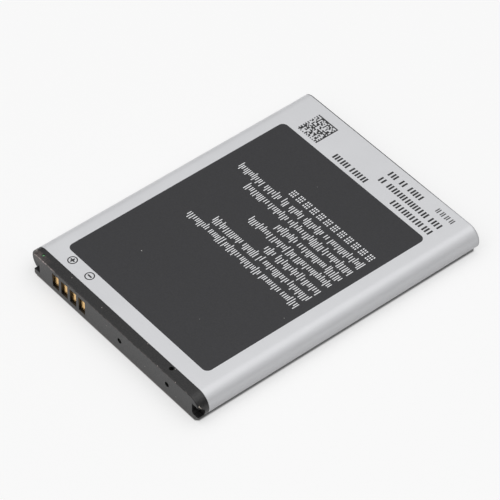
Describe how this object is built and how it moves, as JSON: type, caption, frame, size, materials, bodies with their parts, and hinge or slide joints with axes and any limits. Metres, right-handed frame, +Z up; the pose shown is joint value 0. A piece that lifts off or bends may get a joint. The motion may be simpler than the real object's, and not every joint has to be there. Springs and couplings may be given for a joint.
{
  "type": "mobile phone battery",
  "caption": "Slim rechargeable pack for a mobile phone, with a dark contact cap, latch pockets, a charcoal printed panel and a silver film sleeve.",
  "frame": {"origin": "middle of the underside, which the pack rests on", "axes": "+X across the width, +Y from the contact end to the closed end, +Z up through the thickness, out of the printed face"},
  "size_m": [0.0492, 0.0654, 0.0053],
  "materials": {
    "can_aluminium": "drawn, satin",
    "lid_aluminium": "stamped, satin",
    "seal_plastic": "moulded, milky",
    "nickel_plating": "plated, semi-bright",
    "nickel_strip": "rolled, semi-bright",
    "insulating_paper": "pressed, matt",
    "cutoff_case": "moulded, matt",
    "board_green": "lacquered, semi-gloss",
    "gilt": "gold plated, bright",
    "chip_case": "moulded, matt",
    "resistor_body": "glazed top, matt",
    "capacitor_body": "fired, matt",
    "thermistor_body": "fired, matt",
    "holder_plastic": "moulded, matt",
    "cap_plastic": "moulded, fine grain",
    "tape": "adhesive film",
    "end_plate_plastic": "moulded, matt",
    "label_film": "silver film, satin, printed"
  },
  "bodies": {
    "root": {"cell_can": "can_aluminium", "cell_lid": "lid_aluminium", "terminal_gasket": "seal_plastic", "terminal_rivet": "nickel_plating", "fill_plug": "lid_aluminium", "lid_paper": "insulating_paper", "thermal_cutoff": "cutoff_case", "cutoff_lead": "nickel_strip", "negative_strip": "nickel_strip", "positive_strip": "nickel_strip", "circuit_board": "board_green", "contact_1": "gilt", "contact_2": "gilt", "contact_3": "gilt", "contact_4": "gilt", "weld_plate_plus": "nickel_plating", "weld_plate_minus": "nickel_plating", "power_switch_chip": "chip_case", "protection_chip": "chip_case", "chip_resistors": "resistor_body", "chip_capacitors": "capacitor_body", "thermistor": "thermistor_body", "board_holder": "holder_plastic", "top_cap": "cap_plastic", "end_tape": "tape", "end_plate": "end_plate_plastic", "label_wrap": "label_film"}
  },
  "joints": []
}
